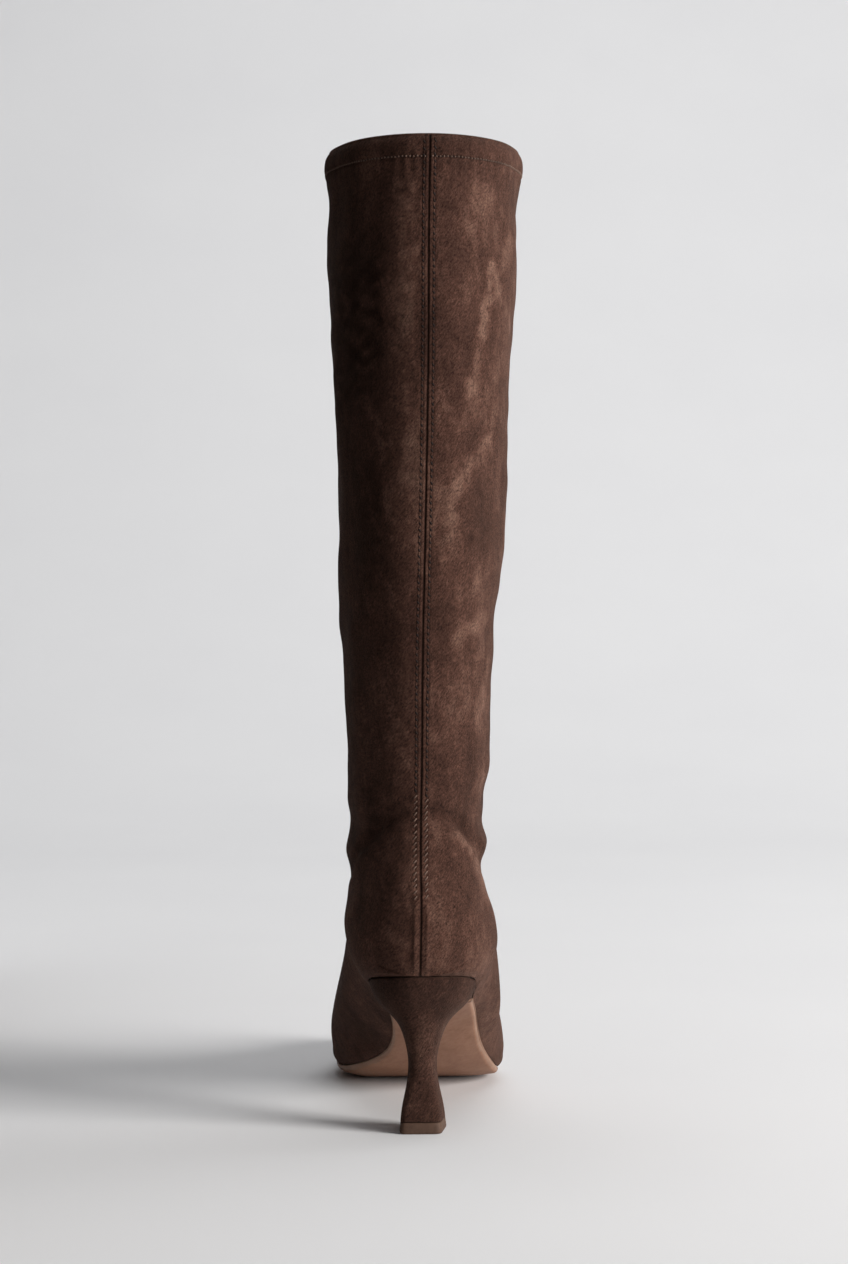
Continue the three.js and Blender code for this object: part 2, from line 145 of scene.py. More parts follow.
ridge_middle = Smooth([(30, 0), (100, -2), (125, -1), (150, 1), (175, 1.5), (200, 1), (248, 0.5)])
WIDEST_OUTER = 0.16
WIDEST_INNER = 0.3
RIDGE_POWER = 2.3

# The leg by height: its back line, shin line, half width and middle.
leg_back = Smooth([
    (40, 10), (58, 6), (72, 1.8), (80, -0.4), (90, -1.4), (102, -0.6), (118, 2.8), (135, 6.4), (155, 8.6),
    (180, 8.4), (220, 5), (260, 0.8), (300, -3), (340, -5.4), (380, -6.2), (430, -5.4), (440, -5.5),
    (447, -6.4), (460, -6.4),
])
leg_front = Smooth([
    (40, 60), (58, 75), (72, 84), (90, 91), (110, 95.5), (130, 97.5), (150, 98), (180, 98.5), (220, 100.5),
    (260, 105), (300, 110.5), (340, 115.5), (380, 119.5), (430, 123.5), (440, 124.2), (447, 125.4),
    (460, 126),
])
leg_half_width = Smooth([
    (40, 4), (50, 12), (58, 19.8), (65, 25.4), (72, 30), (80, 33.6), (90, 35), (98, 34.2), (107, 32.4),
    (116, 31.5), (128, 31.5), (139, 31.9), (160, 33.1), (203, 35.1), (235, 36.6), (256, 37.8), (310, 40.6),
    (364, 43.4), (418, 45.1), (436, 44.9), (444, 46.2), (450, 47.1), (460, 46.8),
])
leg_middle = Smooth([
    (40, 1), (70, 0.6), (90, -0.3), (107, -1.1), (138, -1.3), (170, -0.7), (203, -0.6), (235, -0.3),
    (256, 0.1), (310, 1), (364, 1.6), (418, 1.9), (460, 2.5),
])
seat_bend = Smooth([(-8, -2.6), (2, -2), (28, -0.2), (48, 2.6), (84, 7)])
SEAT_BEND_TOP = 115
LEG_POWER = 2.08
THINNEST_LEG = 2
FOOT_STARTS = 36


def sole_underside(y):
    flat = (y > TREAD_START) & (y < TREAD_END)
    return np.where(flat, 0, np.maximum(0, sole_curve(y)))


def upper_bottom(y):
    return sole_underside(y) + SOLE_THICKNESS + GAP


def leg_axis(y, z):
    return leg_middle(z) + seat_bend(y) * ease((SEAT_BEND_TOP - z) / 45)


def cap_share(y):
    """The share of its full height and width that the foot still has in its rounded toe cap."""
    cap = np.clip((y - FOOT_LENGTH + TOE_CAP) / TOE_CAP, 0, 1)
    return np.sqrt(np.maximum(1 - cap * cap, 1e-6))


# Signed distances, roughly in millimetres and negative inside, to the leg and to the foot.
def leg_distance(x, y, z):
    back = leg_back(z)
    depth = (leg_front(z) - back) / 2
    half = np.maximum(leg_half_width(z), THINNEST_LEG)
    along = np.abs((y - back - depth) / depth)
    across = np.abs((x - leg_axis(y, z)) / half)
    level = (along**LEG_POWER + across**LEG_POWER) ** (1 / LEG_POWER)
    return (level - 1) * np.minimum(depth, half)


def foot_distance(x, y, z):
    left = cap_share(y)
    bottom = upper_bottom(y)
    height = (ridge_height(y) - bottom) * left
    up = (z - bottom) / height
    middle = ridge_middle(y)
    outer = x > middle
    feather = np.abs(np.where(outer, feather_outer(y), feather_inner(y)) - middle) * left
    widest = np.abs(np.where(outer, widest_outer(y), widest_inner(y)) - middle) * left
    widest_at = np.where(outer, WIDEST_OUTER, WIDEST_INNER)
    half = mix(feather, widest, np.sin(math.pi / 2 * np.clip(up / widest_at, 0, 1)))
    level = np.sqrt(((x - middle) / half) ** 2 + np.maximum(up, 0) ** RIDGE_POWER)
    return np.maximum((level - 1) * np.minimum(half, height), FOOT_STARTS - y)


FILLET_BEHIND = 5.0  # where the foot runs into the leg, towards the heel
FILLET_AHEAD = 22.0  # and over the instep
FAR_AWAY = 100.0


def last_distance(x, y, z):
    leg = leg_distance(x, y, z)
    foot = foot_distance(x, np.minimum(y, FOOT_LENGTH - 0.01), z)
    foot = np.where(y < FOOT_LENGTH, foot, FAR_AWAY)
    fillet = mix(FILLET_BEHIND, FILLET_AHEAD, ease((y - 76) / 26))
    near = np.maximum(fillet - np.abs(leg - foot), 0) / fillet
    return np.minimum(leg, foot) - near * near * fillet / 4


def distance(x, y, z):
    d = 0.05
    slope = np.sqrt(
        (last_distance(x + d, y, z) - last_distance(x - d, y, z)) ** 2
        + (last_distance(x, y + d, z) - last_distance(x, y - d, z)) ** 2
        + (last_distance(x, y, z + d) - last_distance(x, y, z - d)) ** 2
    ) / (2 * d)
    return last_distance(x, y, z) / np.maximum(slope, 0.3)


def turning_point(low, high, test, steps=34):
    """The value between low and high, element by element, where a test that holds at low stops holding."""
    low, high = np.array(low, float), np.array(high, float)
    for _ in range(steps):
        middle = (low + high) / 2
        held = test(middle)
        low = np.where(held, middle, low)
        high = np.where(held, high, middle)
    return (low + high) / 2


PAST_EDGE = 90.0  # a distance out from the middle that is past either edge


def feather_at(y, side, depth=0.0):
    """The x of the upper's lower edge at y, on side 1 (outer) or -1 (inner), or that depth within it."""
    y = np.asarray(y, float)
    middle = sole_middle(y)

    def within(x):
        return distance(x, y, upper_bottom(y)) < -depth

    return turning_point(middle, middle + side * PAST_EDGE, within)


def seat_back_at(depth=0.0):
    """The y of the upper's lower edge at the very back, or that depth within it."""
    start, end = np.array([30.0]), np.array([-20.0])

    def within(y):
        return distance(sole_middle(y), y, upper_bottom(y)) < -depth

    return float(turning_point(start, end, within)[0])


# The ball of the foot is cupped: the soles and the upper's foot rise to both edges from a flat middle.
CUP_FLAT = 22.5
CUP_INNER = 5.0
CUP_OUTER = 1.8
CUP_RAMP = 20.0
CUP_TOP = 130.0


def cupped(points):
    x, y, z = points[..., 0], points[..., 1], points[..., 2]
    out = x - sole_middle(y)
    across = np.clip((np.abs(out) - CUP_FLAT) / CUP_RAMP, 0, 1.15) ** 2
    along = ease((y - 95) / 45) * ease((CUP_TOP - z) / 70)
    lifted = points.copy()
    lifted[..., 2] = z + np.where(out > 0, CUP_OUTER, CUP_INNER) * across * along
    return lifted


# The section planes of the upper fan from upright at the toe, round the heel, to level in the shaft.
FAN_START = np.array([118.0, float(ridge_height(118))])
FAN_BEND = np.array([104.0, 123.0])
FAN_END = np.array([99.0, 147.0])
LEVEL_FROM = 190.0
HEM_ROWS = 34  # the closely spaced rows at the top
HEM_ZONE = 16.0
RIM_RADIUS = 1.3


def section_planes():
    """Low points, high points (each y and z), middles and whether each section is open, as arrays."""
    low, high, middle, is_open = [], [], [], []

    def add(low_point, high_point, x, opened):
        low.append(low_point)
        high.append(high_point)
        middle.append(float(x))
        is_open.append(opened)

    for i in range(TOE_ROWS):
        y = FOOT_LENGTH - (FOOT_LENGTH - FAN_START[0]) * (max(i, 0.04) / TOE_ROWS) ** 1.6
        bottom = float(upper_bottom(y))
        add((y, bottom), (y, float(mix(bottom, ridge_height(y), cap_share(y)))), sole_middle(y), True)
    seat_back = seat_back_at()
    for i in range(SEAT_ROWS):
        t = i / SEAT_ROWS
        y = mix(FAN_START[0], seat_back, math.sin(t * math.pi / 2))
        top = (1 - t) ** 2 * FAN_START + 2 * t * (1 - t) * FAN_BEND + t * t * FAN_END
        add((y, float(upper_bottom(y))), tuple(top), mix(sole_middle(y), leg_middle(110), t), True)
    for i in range(ANKLE_ROWS):
        t = i / ANKLE_ROWS
        back = mix(float(upper_bottom(seat_back)), LEVEL_FROM, t)
        front = mix(FAN_END[1], LEVEL_FROM, t)
        behind = float(leg_back(back)) if i else seat_back
        add((behind, back), (float(leg_front(front)), front), leg_middle((back + front) / 2), False)
    top = BOOT_HEIGHT - RIM_RADIUS
    shaft = np.linspace(LEVEL_FROM, top - HEM_ZONE, SHAFT_ROWS - HEM_ROWS, endpoint=False)
    for z in np.concatenate([shaft, np.linspace(top - HEM_ZONE, top, HEM_ROWS)]):
        add((float(leg_back(z)), z), (float(leg_front(z)), z), leg_middle(z), False)
    return np.array(low), np.array(high), np.array(middle), np.array(is_open)


def trace_sections():
    """Every section traced as TRACE + 1 points: [row, point, xyz]."""
    low, high, middle, is_open = section_planes()
    centre = np.column_stack([middle, (low + high) / 2])
    rise = np.column_stack([np.zeros(len(low)), (high - low) / 2])
    width = np.clip(np.linalg.norm(rise, axis=1), 12, 36)
    seam = leg_axis(low[:, 0], low[:, 1])
    first = np.where(is_open, feather_at(low[:, 0], 1), seam)
    last = np.where(is_open, feather_at(low[:, 0], -1), seam)
    start = np.arctan2(-1, (first - middle) / width)
    stop = np.arctan2(-1, (last - middle) / width) + 2 * math.pi
    angle = mix(start[:, None], stop[:, None], np.linspace(0, 1, TRACE + 1)[None, :])

    def at(r):
        x = centre[:, None, 0] + width[:, None] * np.cos(angle) * r
        y = centre[:, None, 1] + rise[:, None, 1] * np.sin(angle) * r
        z = centre[:, None, 2] + rise[:, None, 2] * np.sin(angle) * r
        return x, y, z

    floor = np.where(is_open, low[:, 1] - 0.05, -100)[:, None]

    def within(r):
        return (last_distance(*at(r)) < 0) & (at(r)[2] > floor)

    radius = turning_point(np.zeros_like(angle), np.full_like(angle, 3.0), within, 26)
    points = np.stack(at(radius), axis=-1)
    for column, ends in ((0, first), (-1, last)):
        points[is_open, column, 0] = ends[is_open]
        points[is_open, column, 1:] = low[is_open]
    points[0] = sole_middle(FOOT_LENGTH), FOOT_LENGTH, upper_bottom(FOOT_LENGTH)
    return points, is_open


END_SPACING = 0.2  # between the columns at both ends of a row
SPREAD_POWER = 2.6


def share_out(points):
    """Each traced row shared out into columns that lie close together near both of its ends."""
    steps = np.linalg.norm(np.diff(points, axis=1), axis=2)
    along = np.concatenate([np.zeros((len(points), 1)), np.cumsum(steps, axis=1)], axis=1)
    out = np.empty((len(points), 2 * HALF_COLUMNS + 1, 3))
    distances = np.empty(out.shape[:2])
    t = np.linspace(0, 1, HALF_COLUMNS + 1)
    for i, row in enumerate(points):
        half = along[i, -1] / 2
        close = min(1.0, END_SPACING * HALF_COLUMNS / max(half, 1e-6))
        side = half * (close * t + (1 - close) * t**SPREAD_POWER)
        target = np.concatenate([side, (2 * half - side[:-1])[::-1]])
        for k in range(3):
            out[i, :, k] = np.interp(target, along[i], row[:, k])
        distances[i] = np.concatenate([side, -side[:-1][::-1]])
    return out, distances


def normals_of(grid, closed_rows=None):
    """Unit normals, (next column) x (next row). The end columns of closed rows share a normal."""
    across = np.gradient(grid, axis=1)
    if closed_rows is not None:
        join = grid[closed_rows, 1] - grid[closed_rows, -2]
        across[closed_rows, 0] = join
        across[closed_rows, -1] = join
    along = np.gradient(grid, axis=0)
    n = np.cross(across, along)
    return n / np.maximum(np.linalg.norm(n, axis=2, keepdims=True), 1e-9)


# The relief of the suede: seam, hem, heel counter and folds.
HEM_DEPTH = 10.8
HEM_LINE = BOOT_HEIGHT - HEM_DEPTH
STITCH_SIDE = 2.5  # from the seam's groove to each stitch row
STITCHES_END = 107.0
counter_edge = Smooth([
    (-3, 144.5), (8, 144.2), (10.5, 142.8), (14, 139.5), (19, 133.5), (27, 126), (34, 119.5), (45, 112),
    (60, 100), (75, 86), (90, 70), (102, 55),
])

# Soft ridges and troughs: height in mm, direction round the leg in degrees (0 back, 90 outer
# side, -90 inner side, 180 front), height on the leg, reach round the leg, half thickness, and how far the
# fold climbs in mm for each degree towards the outer side.
FOLDS = [
    (2.9, 92, 130.5, 26, 4.6, 0.0),
    (-0.3, 78, 121, 30, 4.0, 0.10),
    (1.9, -95, 126.5, 26, 4.6, 0.0),
    (-1.1, -62, 139, 30, 4.2, -0.16),
    (-0.9, 50, 147, 26, 4.4, 0.12),
    (0.8, -30, 151, 28, 4.5, -0.08),
    (-0.7, 88, 142, 24, 4.2, 0.05),
    (0.6, 95, 171, 30, 7.0, 0.06),
    (-0.8, 96, 157, 30, 5.0, 0.05),
    (-0.9, -92, 212, 32, 9.0, -0.05),
    (-0.6, -92, 185, 30, 7.0, 0.04),
    (0.7, 92, 222, 34, 8.0, 0.05),
    (-0.7, 88, 243, 30, 8.0, 0.04),
    (-1.0, -95, 394, 26, 14.0, 0.0),
    (-1.6, 180, 139, 42, 4.5, 0.03),
    (1.5, 180, 148, 46, 5.0, 0.03),
    (-1.1, 180, 158, 40, 4.5, -0.04),
    (0.8, 180, 167, 40, 6.0, 0.0),
    (-1.0, 180, 128, 34, 4.0, 0.0),
    (-0.6, 170, 188, 40, 7.0, 0.05),
]


def turn_round_leg(points):
    """Direction round the leg in degrees: 0 at the back, positive towards the outer side."""
    x, y, z = points[..., 0], points[..., 1], points[..., 2]
    middle = (leg_back(z) + leg_front(z)) / 2
    depth = (leg_front(z) - leg_back(z)) / 2
    return np.degrees(np.arctan2((x - leg_axis(y, z)) / leg_half_width(z), -(y - middle) / depth))


def slow_waves(points, length, count, seed):
    """A smooth random field of about +-1, from sine waves of about that length in mm."""
    rng = np.random.default_rng(seed)
    total = np.zeros(points.shape[:-1])
    for _ in range(count):
        direction = rng.normal(size=3)
        direction /= np.linalg.norm(direction)
        wave = 2 * math.pi / (length * rng.uniform(0.7, 1.5))
        total += np.sin(points @ direction * wave + rng.uniform(0, 2 * math.pi))
    return total / math.sqrt(count / 2)


COUNTER_STEP = 0.9  # the heel counter stands out under its edge
COUNTER_TROUGH = 1.7  # and the suede sinks in above it
SEAM_SWELL = 0.15
STITCH_ROW_DEPTH = 0.3
WELT_HEIGHT = 0.45  # the two ridges that take over from the stitch rows low on the heel
GROOVE_DEPTH = 0.4
GROOVE_WIDTH = 0.32
HEM_STEP = 0.4
HEM_CREASE = 0.55
HEM_PUCKER = 0.16
EDGE_TUCK = 0.4  # the upper draws in at the sole
EDGE_PLUMP = 0.9  # and swells just above it


def relief(points, seam_distance, is_open):
    """Height over the last, in mm, at each point of the upper."""
    y, z = points[..., 1], points[..., 2]
    side = np.abs(seam_distance)
    closed = ~is_open[:, None] & np.ones_like(side, bool)
    above_seat = np.where(closed, ease((z - points[FIRST_CLOSED, 0, 2]) / 2.5), 0)
    on_leg = ease((z - 95) / 25) * np.maximum(ease((118 - y) / 30), ease((z - 150) / 20))

    height = 0.4 * slow_waves(points, 62, 14, 3) * ease((z - 150) / 60) * ease((HEM_LINE - 4 - z) / 12)
    height += 0.22 * slow_waves(points, 24, 16, 5) * ease((z - 60) / 50)

    angle = turn_round_leg(points)
    for tall, direction, at, reach, thick, climb in FOLDS:
        off = (angle - direction + 180) % 360 - 180
        height += on_leg * tall * bell(off / reach) * bell((z - at - climb * off) / thick)

    edge = counter_edge(y)
    counter = ease((105 - y) / 30)
    height += counter * COUNTER_STEP * ease((edge - z) / 3.8 + 0.5)
    height -= counter * COUNTER_TROUGH * bell((z - edge - 4.4) / 3.6) * ease((48 - y) / 30 + 0.25)

    swell = SEAM_SWELL * ease((6.0 - side) / 3.5)
    rows = -STITCH_ROW_DEPTH * bell((side - STITCH_SIDE) / 0.5) * ease((z - STITCHES_END) / 8)
    welts = WELT_HEIGHT * bell((side - STITCH_SIDE - 0.2) / 0.7) * ease((STITCHES_END + 4 - z) / 10)
    groove = -GROOVE_DEPTH * bell(side / GROOVE_WIDTH)
    height += above_seat * (swell + rows + welts + groove)

    pucker = HEM_PUCKER * np.sin(side * 2 * math.pi / 5.4 + 2 * np.sin(side / 17))
    height += HEM_STEP * ease((z - HEM_LINE) / 1.4 + 0.5)
    height -= HEM_CREASE * bell((z - HEM_LINE) / 0.7)
    height += pucker * bell((z - HEM_LINE + 2.5) / 4)

    height += 0.12 * slow_waves(points, 7, 18, 11) * bell((side - 3.2) / 2.5) * on_leg
    tucked = np.where(is_open[:, None], np.clip(1 - side / 1.7, 0, 1) ** 2, 0)
    seat = points[FIRST_CLOSED, 0, 2]
    quiet = np.where(is_open[:, None], ease((side - 0.5) / 6), ease((z - seat) / 6))
    plump = np.where(is_open[:, None], bell((side - 3.4) / 2.1) * ease((y - 95) / 30), 0)
    return height * quiet - EDGE_TUCK * tucked + EDGE_PLUMP * plump


# The brushed nap's streaks, with painted shade and painted highlight among them: strokes over the back as (x,
# height) points, their width, and how much paler.
NAP_STROKES_AND_PAINTED_LIGHT = [
    ([(32, 402), (29, 384), (27, 370)], 1.3, 0.70),
    ([(29, 384), (25, 358), (22, 342)], 1.6, 0.50),
    ([(22, 345), (21, 330)], 3.0, 0.25),
    ([(41, 414), (36, 398), (32, 386)], 1.8, 0.40),
    ([(33, 398), (38, 384), (42, 374)], 1.6, 0.35),
    ([(28, 430), (20, 419)], 5.0, 0.30),
    ([(31, 322), (22, 309), (16, 300)], 1.5, 0.45),
    ([(17, 301), (13, 288), (12, 276)], 2.2, 0.50),
    ([(-27, 341), (-19, 318), (-16.5, 284)], 1.7, 0.45),
    ([(28, 238), (15, 228)], 2.2, 0.55),
    ([(27, 262), (24, 249)], 2.4, 0.30),
    ([(32, 201), (26, 189)], 4.5, 0.30),
    ([(36, 168), (30, 160)], 4.0, 0.30),
    ([(-9, 436), (-8, 360), (-7, 300)], 4.5, 0.30),
    # Painted shade on the leg's inner side.
    ([(-28, 400), (-27, 345)], 9.0, -0.45),
    ([(-24, 300), (-22, 262)], 7.0, -0.30),
    ([(13, 428), (14, 396)], 5.0, -0.20),
    ([(27, 300), (24, 276)], 5.0, -0.25),
    ([(8, 240), (8, 215)], 4.0, -0.20),
    # A painted highlight along the heel counter's lit ridge, and painted shade above the counter's edge.
    ([(17, 137), (24, 127), (29, 116), (32, 106)], 2.0, 0.55),
    ([(6, 151), (15, 147), (23, 138), (30, 126)], 2.6, -0.22),
    ([(-8, 151), (-18, 146), (-26, 136), (-31, 122)], 4.2, -0.34),
    ([(-30, 160), (-20, 156)], 7.0, -0.20),
]


PAINTED_FOOT_SHADE = 0.22  # painted shade, a little darker low on the inner side of the foot
PAINTED_LEG_SHADE = 0.2
PAINTED_GROOVE_SHADE = 1.3
PAINTED_GROOVE_HIGHLIGHT = 0.1  # painted highlight, a paler lip along the groove's inner side
PAINTED_STITCH_SHADE = 0.12


def brushed_and_painted(points, seam_distance, is_open):
    """How much paler, or darker where negative, each point is: the brushed nap, with painted shade and
    painted highlight.
    """
    x, y, z = points[..., 0], points[..., 1], points[..., 2]
    on_seam = np.where(is_open[:, None], 0, 1)
    behind = ease((62 - y) / 20)
    ragged = 0.85 + 0.3 * slow_waves(points, 8, 14, 21)
    nap_and_painted_light = np.zeros(x.shape)
    for line, width, amount in NAP_STROKES_AND_PAINTED_LIGHT:
        nearest = np.full(x.shape, 1e9)
        for (x0, z0), (x1, z1) in zip(line[:-1], line[1:]):
            dx, dz = x1 - x0, z1 - z0
            t = np.clip(((x - x0) * dx + (z - z0) * dz) / (dx * dx + dz * dz), 0, 1)
            nearest = np.minimum(nearest, np.hypot(x - x0 - t * dx, z - z0 - t * dz))
        nap_and_painted_light += amount * bell(nearest / width) * behind * ragged
    # Painted shade low on the foot's inner side, on the leg's inner side, in the seam's groove and along the
    # upper stitch rows; a painted highlight on the groove's lip.
    nap_and_painted_light -= PAINTED_FOOT_SHADE * ease((6 - x) / 40) * ease((y - 40) / 60) * ease((112 - z) / 60)
    nap_and_painted_light -= PAINTED_LEG_SHADE * ease((-14 - x) / 26) * ease((z - 120) / 50)
    nap_and_painted_light -= PAINTED_GROOVE_SHADE * bell(seam_distance / 0.34) * on_seam
    nap_and_painted_light += PAINTED_GROOVE_HIGHLIGHT * bell((seam_distance + 0.9) / 0.4) * on_seam
    nap_and_painted_light -= PAINTED_STITCH_SHADE * bell((np.abs(seam_distance) - STITCH_SIDE) / 0.9) * on_seam * ease((z - 150) / 20)
    return nap_and_painted_light


def to_row_frame(points):
    """Drawing-frame points in mm as row-frame points in metres."""
    return (points + SHIFT) / 1000.0


def add_mesh(name, vertices, faces, material, stands_for=(), merge=True, nap_and_painted_light=None):
    """A piece from drawing-frame points in mm, with its joins merged and its normals outward as given."""
    mesh = bpy.data.meshes.new(name)
    mesh.from_pydata(to_row_frame(np.asarray(vertices)).tolist(), [], [tuple(f) for f in faces])
    obj = bpy.data.objects.new(name, mesh)
    bpy.context.scene.collection.objects.link(obj)
    if nap_and_painted_light is not None:
        mesh.attributes.new("nap_and_painted_light", "FLOAT", "POINT").data.foreach_set("value", np.ravel(nap_and_painted_light))
    if merge:
        work = bmesh.new()
        work.from_mesh(mesh)
        bmesh.ops.remove_doubles(work, verts=work.verts, dist=2e-6)
        bmesh.ops.dissolve_degenerate(work, edges=work.edges, dist=1e-7)
        work.to_mesh(mesh)
        work.free()
    mesh.polygons.foreach_set("use_smooth", [True] * len(mesh.polygons))
    mesh.materials.append(material)
    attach(obj, "root")
    if stands_for:
        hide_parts(*stands_for)
    return obj


def grid_faces(rows, columns, start=0, flip=False):
    """Quads of a grid of points, facing (next column) x (next row)."""
    i, j = np.meshgrid(np.arange(rows - 1), np.arange(columns - 1), indexing="ij")
    a = start + i * columns + j
    quads = np.stack([a, a + 1, a + columns + 1, a + columns], axis=-1).reshape(-1, 4)
    return (quads[:, ::-1] if flip else quads).tolist()


class Builder:
    """Collects grids of points into one vertex list and one face list."""

    def __init__(self):
        self.vertices = []
        self.faces = []

    def grid(self, points, flip=False):
        points = np.asarray(points, float)
        rows, columns = points.shape[:2]
        self.faces += grid_faces(rows, columns, len(self.vertices), flip)
        self.vertices += points.reshape(-1, 3).tolist()


class Nodes:
    """A short way to write a material's node tree."""

    def __init__(self, name):
        self.material = bpy.data.materials.new(name)
        self.material.use_nodes = True
        self.tree = self.material.node_tree
        self.shader = self.tree.nodes["Principled BSDF"]
        place = self.add("ShaderNodeTexCoord")
        self.place = place.outputs["Object"]

    def add(self, kind, **settings):
        node = self.tree.nodes.new(kind)
        for key, value in settings.items():
            setattr(node, key, value)
        return node

    def link(self, a, b):
        self.tree.links.new(a, b)

    def mapped(self, per_mm, turn=(0, 0, 0)):
        """The object's coordinates, turned, in units of those many per millimetre along each axis."""
        node = self.add("ShaderNodeMapping", vector_type="TEXTURE")
        node.inputs["Rotation"].default_value = [math.radians(a) for a in turn]
        node.inputs["Scale"].default_value = [1 / (1000 * p) for p in per_mm]
        self.link(self.place, node.inputs["Vector"])
        return node.outputs["Vector"]

    def noise(self, size, detail=2.0, rough=0.5, stretch=(1, 1, 1), turn=(0, 0, 0), distort=0.0):
        """Noise with spots of about that size in mm, stretched along the turned axes."""
        node = self.add("ShaderNodeTexNoise")
        self.link(self.mapped([1 / (size * s) for s in stretch], turn), node.inputs["Vector"])
        node.inputs["Scale"].default_value = 1.0
        node.inputs["Detail"].default_value = detail
        node.inputs["Roughness"].default_value = rough
        node.inputs["Distortion"].default_value = distort
        return node.outputs["Fac"]

    def math(self, operation, a, b, clamp=False):
        node = self.add("ShaderNodeMath", operation=operation, use_clamp=clamp)
        for socket, value in zip(node.inputs, (a, b)):
            if isinstance(value, (int, float)):
                socket.default_value = value
            else:
                self.link(value, socket)
        return node.outputs[0]

    def ramp(self, value, low, high, to_low=0.0, to_high=1.0):
        node = self.add("ShaderNodeMapRange")
        self.link(value, node.inputs["Value"])
        for key, number in zip(("From Min", "From Max", "To Min", "To Max"), (low, high, to_low, to_high)):
            node.inputs[key].default_value = number
        return node.outputs["Result"]

    def blend(self, factor, a, b, kind="MIX"):
        node = self.add("ShaderNodeMix", data_type="RGBA", blend_type=kind)
        sockets = (node.inputs[0], node.inputs[6], node.inputs[7])
        for socket, value in zip(sockets, (factor, a, b)):
            if isinstance(value, (int, float)):
                socket.default_value = value
            elif isinstance(value, tuple):
                socket.default_value = (*value, 1)
            else:
                self.link(value, socket)
        return node.outputs[2]

    def bump(self, height, distance_mm, strength=1.0, base=None):
        node = self.add("ShaderNodeBump")
        node.inputs["Strength"].default_value = strength
        node.inputs["Distance"].default_value = distance_mm / 1000
        self.link(height, node.inputs["Height"])
        if base is not None:
            self.link(base, node.inputs["Normal"])
        return node.outputs["Normal"]

    def finish(self, colour, roughness, normal=None, **constants):
        self.link(colour, self.shader.inputs["Base Color"])
        if isinstance(roughness, (int, float)):
            self.shader.inputs["Roughness"].default_value = roughness
        else:
            self.link(roughness, self.shader.inputs["Roughness"])
        if normal is not None:
            self.link(normal, self.shader.inputs["Normal"])
        for key, value in constants.items():
            self.shader.inputs[key.replace("_", " ")].default_value = value
        return self.material


SHEEN = 0.14
SPECULAR = 0.1
DEEP_PAINTED_SHADE = 0.5  # how dark the colour gets where the painted shade is deepest


def suede(name, dark, middle, light):
    """Brushed suede: nap in patches and streaks over a fine felted grain, changed by a piece's own attribute
    of nap strokes, painted shade and painted highlight; deep painted shade also lowers the colour, sheen and
    specular.
    """
    n = Nodes(name)
    patches = n.noise(34, 3, 0.55, stretch=(0.8, 0.8, 2.0), turn=(0, 14, 0), distort=0.6)
    streaks = n.noise(9, 3, 0.6, stretch=(0.9, 0.9, 2.4), turn=(0, -12, 0), distort=0.4)
    clouds = n.noise(5, 3, 0.65)
    fibres = n.noise(0.75, 3, 0.75, stretch=(0.8, 1.2, 3.2), turn=(0, 38, 0))
    grain = n.noise(0.95, 4, 0.8)
    nap_and_painted_light = n.math("ADD", n.math("MULTIPLY", patches, 0.42), n.math("MULTIPLY", streaks, 0.34))
    nap_and_painted_light = n.math("ADD", nap_and_painted_light, n.math("MULTIPLY", clouds, 0.24))
    nap_and_painted_light = n.ramp(nap_and_painted_light, 0.34, 0.70)
    strokes_and_painted_light = n.add("ShaderNodeAttribute", attribute_name="nap_and_painted_light").outputs["Fac"]
    nap_and_painted_light = n.math("ADD", nap_and_painted_light, strokes_and_painted_light)
    # Deep painted shade darkens the colour and turns down sheen and specular.
    painted_shade_factor = n.ramp(strokes_and_painted_light, -0.9, -0.3, DEEP_PAINTED_SHADE, 1.0)
    colour = n.blend(n.ramp(nap_and_painted_light, 0.0, 0.62), dark, middle)
    colour = n.blend(n.ramp(nap_and_painted_light, 0.5, 1.15), colour, light)
    speckle = n.math("ADD", n.math("MULTIPLY", fibres, 0.55), n.math("MULTIPLY", grain, 0.45))
    shade = n.math("MULTIPLY", n.ramp(speckle, 0.35, 0.65, 0.15, 1.85), painted_shade_factor)
    lit = n.add("ShaderNodeCombineColor")
    for socket in lit.inputs:
        n.link(shade, socket)
    colour = n.blend(1.0, colour, lit.outputs[0], "MULTIPLY")
    normal = n.bump(speckle, 0.9, 1.0)
    normal = n.bump(clouds, 0.9, 0.5, normal)
    n.link(n.math("MULTIPLY", painted_shade_factor, SHEEN), n.shader.inputs["Sheen Weight"])
    n.link(n.math("MULTIPLY", painted_shade_factor, SPECULAR), n.shader.inputs["Specular IOR Level"])
    return n.finish(colour, 0.95, normal, Sheen_Roughness=0.5, Sheen_Tint=(0.55, 0.36, 0.28, 1))


suede_upper = suede("suede_upper", (0.026, 0.0110, 0.0073), (0.066, 0.0305, 0.0215), (0.128, 0.069, 0.050))
suede_heel = suede("suede_heel", (0.022, 0.0095, 0.0065), (0.047, 0.0220, 0.0155), (0.080, 0.042, 0.030))


def leather(name, dark, light, grain_mm, roughness, bump_mm=0.12):
    """Smooth dyed leather with a fine pebbled grain and faint cloudy wear."""
    n = Nodes(name)
    clouds = n.noise(14, 3, 0.6)
    pores = n.noise(grain_mm, 3, 0.6)
    scuffs = n.noise(2.2, 3, 0.7, stretch=(1, 7, 1), turn=(0, 0, 25))
    tone = n.math("ADD", n.math("MULTIPLY", clouds, 0.55), n.math("MULTIPLY", scuffs, 0.45))
    colour = n.blend(n.ramp(tone, 0.36, 0.64), dark, light)
    shade = n.ramp(pores, 0.3, 0.7, roughness - 0.06, roughness + 0.08)
    normal = n.bump(pores, bump_mm, 0.6)
    normal = n.bump(scuffs, bump_mm, 0.35, normal)
    return n.finish(colour, shade, normal, Specular_IOR_Level=0.28)


